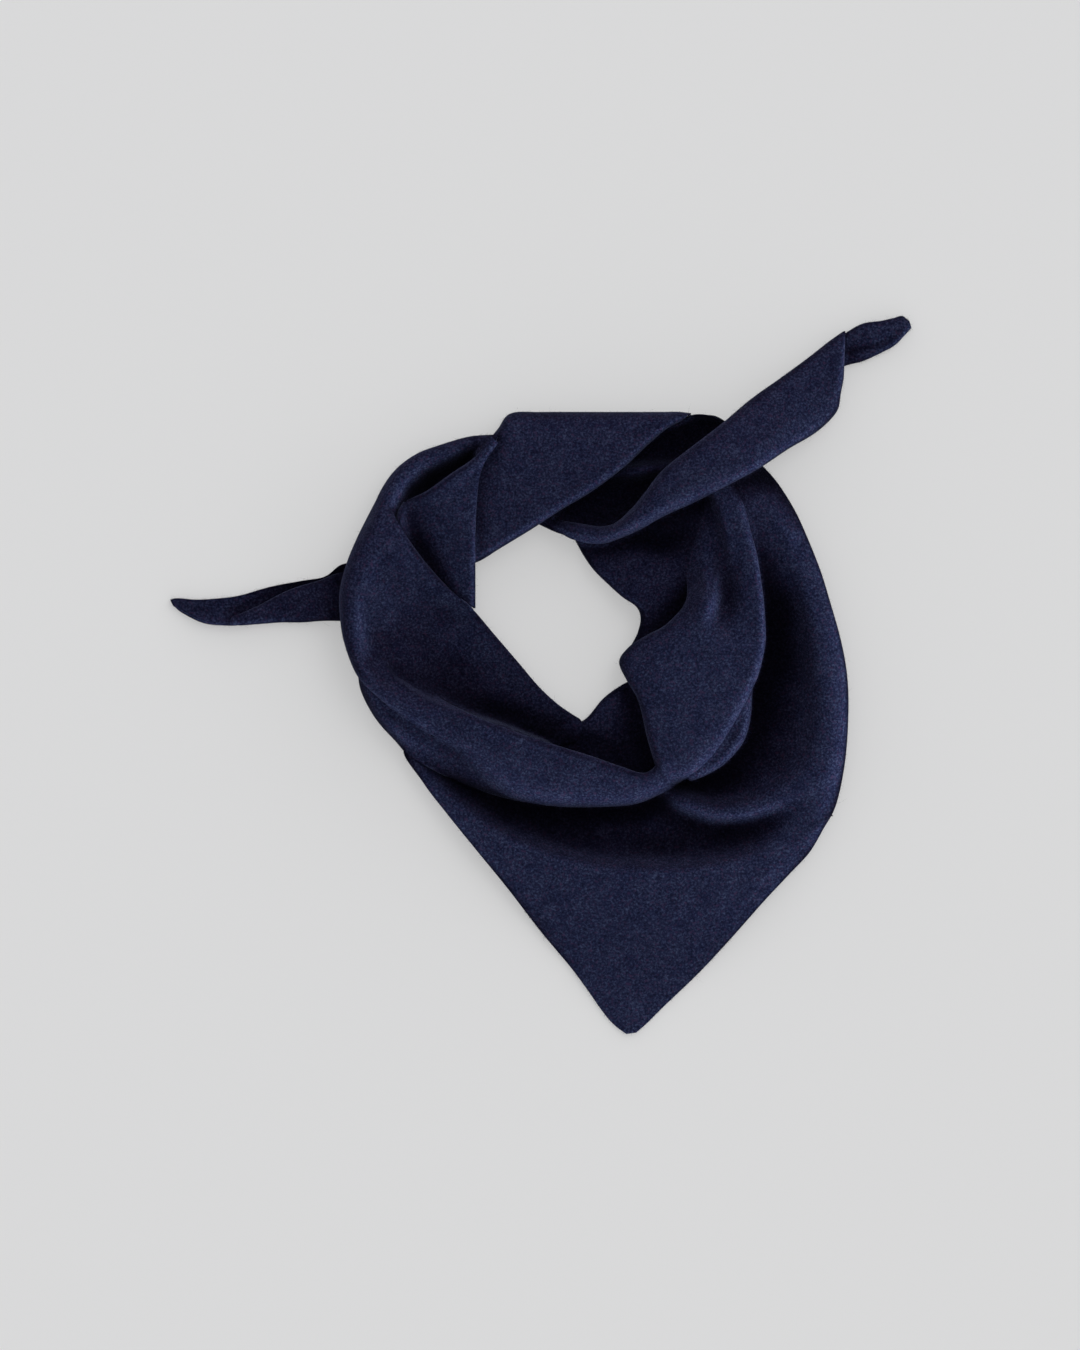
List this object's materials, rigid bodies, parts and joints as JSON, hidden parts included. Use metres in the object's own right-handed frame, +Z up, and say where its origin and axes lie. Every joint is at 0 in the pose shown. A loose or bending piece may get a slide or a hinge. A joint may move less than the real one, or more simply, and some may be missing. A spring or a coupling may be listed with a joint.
{
  "type": "bandana",
  "caption": "Triangular felted wool bandana laid out flat in its worn shape: a bib with its point down, a soft round ring of cloth about the neck opening, and two short twisted tails.",
  "frame": {"origin": "on the surface that the bandana lies on, at the middle of its box", "axes": "+Z up from the surface, +Y away from the bib's point towards the back of the neck, +X to the right of the bandana as it is seen from above"},
  "size_m": [0.5184, 0.502, 0.0383],
  "materials": {
    "wool_outer": "navy felted wool knit with a fine short nap",
    "wool_inner": "the same navy knit where it lies in the folds"
  },
  "bodies": {
    "root": {"bib": "wool_outer", "left_tail_inner_face": "wool_inner", "left_tail": "wool_outer", "left_under_layer": "wool_inner", "slit_back": "wool_inner", "top_wrap": "wool_outer", "corner_panel": "wool_inner", "right_inner_panel": "wool_inner", "left_arch": "wool_outer", "left_flap": "wool_outer", "left_panel": "wool_outer", "front_roll": "wool_outer", "petal_under_layer": "wool_inner", "right_petal": "wool_outer", "right_tail_tip": "wool_inner", "right_tail": "wool_outer", "hidden_layers_back": "wool_inner", "hidden_layers_left": "wool_inner", "hidden_layers_front": "wool_inner", "hidden_layers_right": "wool_inner"}
  },
  "joints": []
}
